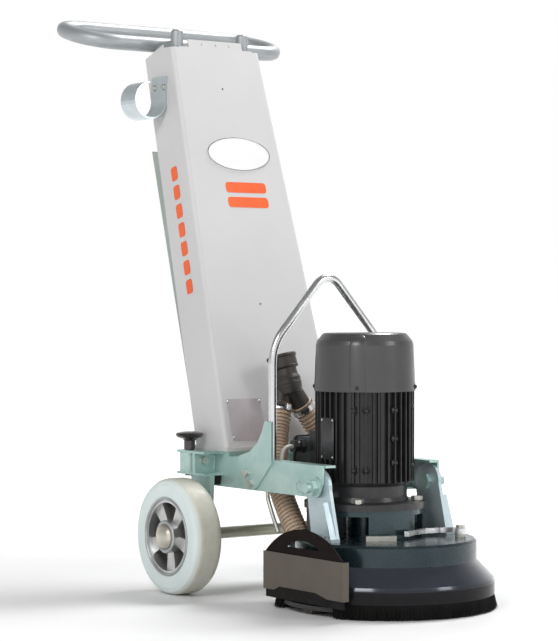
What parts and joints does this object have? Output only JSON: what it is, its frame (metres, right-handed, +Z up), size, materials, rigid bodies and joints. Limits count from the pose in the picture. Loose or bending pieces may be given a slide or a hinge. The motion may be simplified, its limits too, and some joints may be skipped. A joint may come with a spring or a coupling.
{
  "type": "concrete floor grinder",
  "caption": "Walk-behind electric floor grinder: upright motor on a brush-skirted disc head, leaning column with loop handle, side wheels and dust hoses.",
  "frame": {"origin": "on the floor, below the centre of the whole machine's outline", "axes": "+X forwards from the handle towards the grinding head, +Y to the operator's left, +Z up"},
  "size_m": [0.926, 0.4794, 1.032],
  "materials": {
    "zinc": "pale green-grey zinc, satin",
    "column_white": "fine powder coat",
    "door_green": "powder coat",
    "panel_black": "moulded",
    "handle_silver": "satin silver",
    "bright_steel": "bright zinc",
    "hook_zinc": "bent strip",
    "bolt_steel": "plated",
    "plate": "thin plate",
    "inlet_plastic": "moulded",
    "switch_plastic": "moulded",
    "button_green": "moulded",
    "button_red": "moulded",
    "knob_black": "moulded",
    "rim_aluminium": "die cast",
    "tyre_grey": "non-marking rubber",
    "rubber": "moulded",
    "gear_case_grey": "painted casting",
    "shroud_blue": "dark satin",
    "bristle": "dense nylon bristles",
    "motor_black": "painted ribs",
    "fan_grey": "dark satin",
    "core": "laminations",
    "shaft": "ground steel",
    "fan_plastic": "moulded",
    "box_black": "moulded",
    "gland_grey": "moulded",
    "cable": "sheath",
    "wye": "moulded rubber",
    "hose": "ribbed hose",
    "disc_steel": "turned",
    "diamond": "sintered",
    "taupe": "powder coat",
    "sheet_black": "glossy sheet",
    "bracket_blue": "passivated zinc"
  },
  "bodies": {
    "chassis": {"side_arms": "zinc", "cross_members": "zinc", "gusset_plates": "zinc", "lifting_bail": "bright_steel", "column_housing": "column_white", "rear_door": "door_green", "control_panel": "panel_black", "power_inlet": "inlet_plastic", "switchgear": "switch_plastic", "handle_loop": "handle_silver", "handle_posts": "handle_silver", "hose_hook": "hook_zinc", "name_plates": "plate", "wheel_carriers": "zinc", "chassis_fasteners": "bolt_steel", "rubber_stops": "rubber", "axle": "shaft", "pivot_pins": "bolt_steel", "stop_rod": "bolt_steel"},
    "start_button": {"start_button": "button_green"},
    "stop_button": {"stop_button": "button_red"},
    "emergency_stop": {"emergency_stop": "button_red"},
    "index_knob_right": {"index_knob_right": "knob_black"},
    "index_knob_left": {"index_knob_left": "knob_black"},
    "wheel_right": {"wheel_rim_right": "rim_aluminium", "tyre_right": "tyre_grey", "hub_fittings_right": "bolt_steel"},
    "wheel_left": {"wheel_rim_left": "rim_aluminium", "tyre_left": "tyre_grey", "hub_fittings_left": "bolt_steel"},
    "head": {"pivot_brackets": "bracket_blue", "gear_case": "gear_case_grey", "gear_case_lid": "gear_case_grey", "adaptor_drum": "motor_black", "shroud": "shroud_blue", "brush_skirt": "bristle", "motor_housing": "motor_black", "motor_end_shields": "motor_black", "stator_core": "core", "head_bearings": "shaft", "fan_cover": "fan_grey", "terminal_box": "box_black", "cable_gland": "gland_grey", "motor_cable": "cable", "y_connector": "wye", "dust_hose_right": "hose", "dust_hose_left": "hose", "hose_clamps": "bright_steel", "head_fasteners": "bolt_steel"},
    "rotor": {"motor_rotor": "shaft", "pinion": "shaft", "cooling_fan": "fan_plastic"},
    "disc": {"spindle": "shaft", "spindle_gear": "shaft", "grinding_disc": "disc_steel", "diamond_segments": "diamond"},
    "edge_cover": {"edge_plate": "taupe", "edge_sheet": "sheet_black", "edge_rubber": "rubber"},
    "deck_lever": {"deck_lever": "bolt_steel"}
  },
  "joints": [
    {"name": "head_tilt", "type": "hinge", "parent": "chassis", "child": "head", "pos_m": [0.249, 0, 0.2], "axis": [0, 1, 0], "range_deg": [-4, 6]},
    {"name": "wheel_right_spin", "type": "hinge", "parent": "chassis", "child": "wheel_right", "pos_m": [-0.045, -0.2, 0.1], "axis": [0, 1, 0], "continuous": true},
    {"name": "wheel_left_spin", "type": "hinge", "parent": "chassis", "child": "wheel_left", "pos_m": [-0.045, 0.2, 0.1], "axis": [0, 1, 0], "continuous": true},
    {"name": "disc_spin", "type": "hinge", "parent": "head", "child": "disc", "pos_m": [0.278, 0, 0.014], "axis": [0, 0, 1], "continuous": true},
    {"name": "rotor_spin", "type": "hinge", "parent": "head", "child": "rotor", "pos_m": [0.221, 0, 0.27], "axis": [0, 0, 1], "continuous": true},
    {"name": "edge_cover_lift", "type": "slide", "parent": "head", "child": "edge_cover", "axis": [0, 0, 1], "range_m": [0, 0.07]},
    {"name": "deck_lever_turn", "type": "hinge", "parent": "head", "child": "deck_lever", "pos_m": [0.351, 0.1, 0.124], "axis": [0, 0, 1], "range_deg": [0, 40]},
    {"name": "start_press", "type": "slide", "parent": "chassis", "child": "start_button", "axis": [0.9563, 0, 0.2924], "range_m": [0, 0.003], "stiffness_N_per_m": 800},
    {"name": "stop_press", "type": "slide", "parent": "chassis", "child": "stop_button", "axis": [0.9563, 0, 0.2924], "range_m": [0, 0.003], "stiffness_N_per_m": 800},
    {"name": "emergency_press", "type": "slide", "parent": "chassis", "child": "emergency_stop", "axis": [0.9563, 0, 0.2924], "range_m": [0, 0.006], "stiffness_N_per_m": 1000},
    {"name": "index_right_pull", "type": "slide", "parent": "chassis", "child": "index_knob_right", "axis": [0, 0, 1], "range_m": [0, 0.008], "stiffness_N_per_m": 1500},
    {"name": "index_left_pull", "type": "slide", "parent": "chassis", "child": "index_knob_left", "axis": [0, 0, 1], "range_m": [0, 0.008], "stiffness_N_per_m": 1500}
  ],
  "couplings": [
    {"joint": "rotor_spin", "follows": "disc_spin", "ratio": -2}
  ]
}
